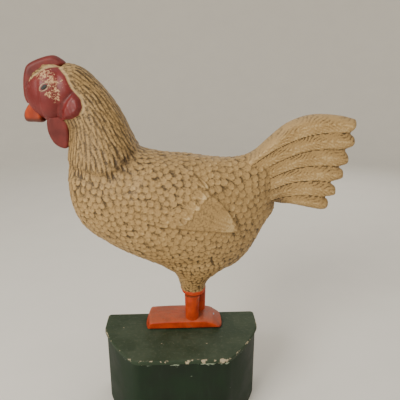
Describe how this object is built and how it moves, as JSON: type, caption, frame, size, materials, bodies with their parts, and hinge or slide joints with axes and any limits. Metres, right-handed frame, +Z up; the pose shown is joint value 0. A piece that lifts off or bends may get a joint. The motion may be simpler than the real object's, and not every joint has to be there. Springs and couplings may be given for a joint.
{
  "type": "wind-up hopping chicken",
  "caption": "Hollow hen on a bow-fronted plinth; the clockwork in the plinth lifts the bird in short hops, wound by a wing key and held by a stop knob at the back.",
  "frame": {"origin": "on the resting face, straight below the bird's middle plane, halfway along the plinth", "axes": "+Z up, the bird faces -X, its left side is -Y; the plinth's straight back with the key is at +Y"},
  "size_m": [0.2877, 0.1031, 0.329],
  "materials": {
    "plumage": "matte",
    "comb_red": "satin",
    "beak_orange": "satin",
    "leg_orange": "satin",
    "board_green": "matte",
    "case_green": "satin",
    "bare_wood": "matte",
    "brass": "satin",
    "steel": "satin",
    "spring_steel": "polished",
    "key_nickel": "satin"
  },
  "bodies": {
    "plinth": {"plinth_top": "board_green", "plinth_case": "case_green", "plinth_bottom": "bare_wood", "key_bush": "brass", "stop_bush": "brass", "corner_posts": "bare_wood", "bottom_screws": "steel", "movement_screws": "steel", "rod_bushes": "brass", "front_plate": "brass", "back_plate": "brass", "pillars": "brass", "pillar_screws": "steel", "mainspring": "spring_steel", "spring_post": "steel"},
    "cam": {"cam_arbor": "steel", "cam_wheel": "brass", "snail_cam": "steel"},
    "bird": {"body_shell_left": "plumage", "body_shell_right": "plumage", "tail_fan": "plumage", "comb": "comb_red", "beak": "beak_orange", "wattle_left": "comb_red", "wattle_right": "comb_red", "shank_left": "leg_orange", "shank_right": "leg_orange", "foot_block": "leg_orange", "thigh_plug": "bare_wood", "leg_bolts": "steel", "lift_rod_front": "steel", "lift_rod_rear": "steel", "crosshead": "steel", "follower_pin": "steel", "rod_nuts": "steel"},
    "great_wheel": {"great_wheel": "brass", "click_pivot": "steel", "click_spring": "spring_steel"},
    "click": {"click": "steel"},
    "winding_key": {"winding_arbor": "steel", "ratchet_wheel": "steel", "wing_key": "key_nickel"},
    "middle_wheel": {"middle_arbor": "steel", "middle_wheel": "brass"},
    "fly": {"fly_arbor": "steel", "fly_vane": "brass"},
    "stop": {"stop_rod": "steel", "stop_knob": "brass"}
  },
  "joints": [
    {"name": "cam_turn", "type": "hinge", "parent": "plinth", "child": "cam", "pos_m": [0.006, -0.03, 0.034], "axis": [0, -1, 0], "range_deg": [0, 300]},
    {"name": "hop", "type": "slide", "parent": "plinth", "child": "bird", "axis": [0, 0, 1], "range_m": [0, 0.008]},
    {"name": "great_wheel_turn", "type": "hinge", "parent": "plinth", "child": "great_wheel", "pos_m": [-0.0204, -0.02, 0.034], "axis": [0, -1, 0], "range_deg": [-67, 0]},
    {"name": "middle_wheel_turn", "type": "hinge", "parent": "plinth", "child": "middle_wheel", "pos_m": [0.02235, -0.035, 0.03995], "axis": [0, -1, 0], "range_deg": [-1441, 0]},
    {"name": "fly_turn", "type": "hinge", "parent": "plinth", "child": "fly", "pos_m": [0.03188, -0.025, 0.03445], "axis": [0, -1, 0], "range_deg": [0, 6481]},
    {"name": "key_wind", "type": "hinge", "parent": "great_wheel", "child": "winding_key", "pos_m": [-0.0204, 0, 0.034], "axis": [0, -1, 0], "range_deg": [0, 1440]},
    {"name": "click_lift", "type": "hinge", "parent": "great_wheel", "child": "click", "pos_m": [-0.0092, -0.0226, 0.0444], "axis": [0, 1, 0], "range_deg": [0, 12], "stiffness_Nm_per_rad": 0.005},
    {"name": "stop_slide", "type": "slide", "parent": "plinth", "child": "stop", "axis": [0, -1, 0], "range_m": [0, 0.006]}
  ],
  "couplings": [
    {"joint": "cam_turn", "follows": "hop", "rad_per_m": 654.49},
    {"joint": "great_wheel_turn", "follows": "hop", "rad_per_m": -145.44},
    {"joint": "middle_wheel_turn", "follows": "hop", "rad_per_m": -3141.6},
    {"joint": "fly_turn", "follows": "hop", "rad_per_m": 14137}
  ]
}
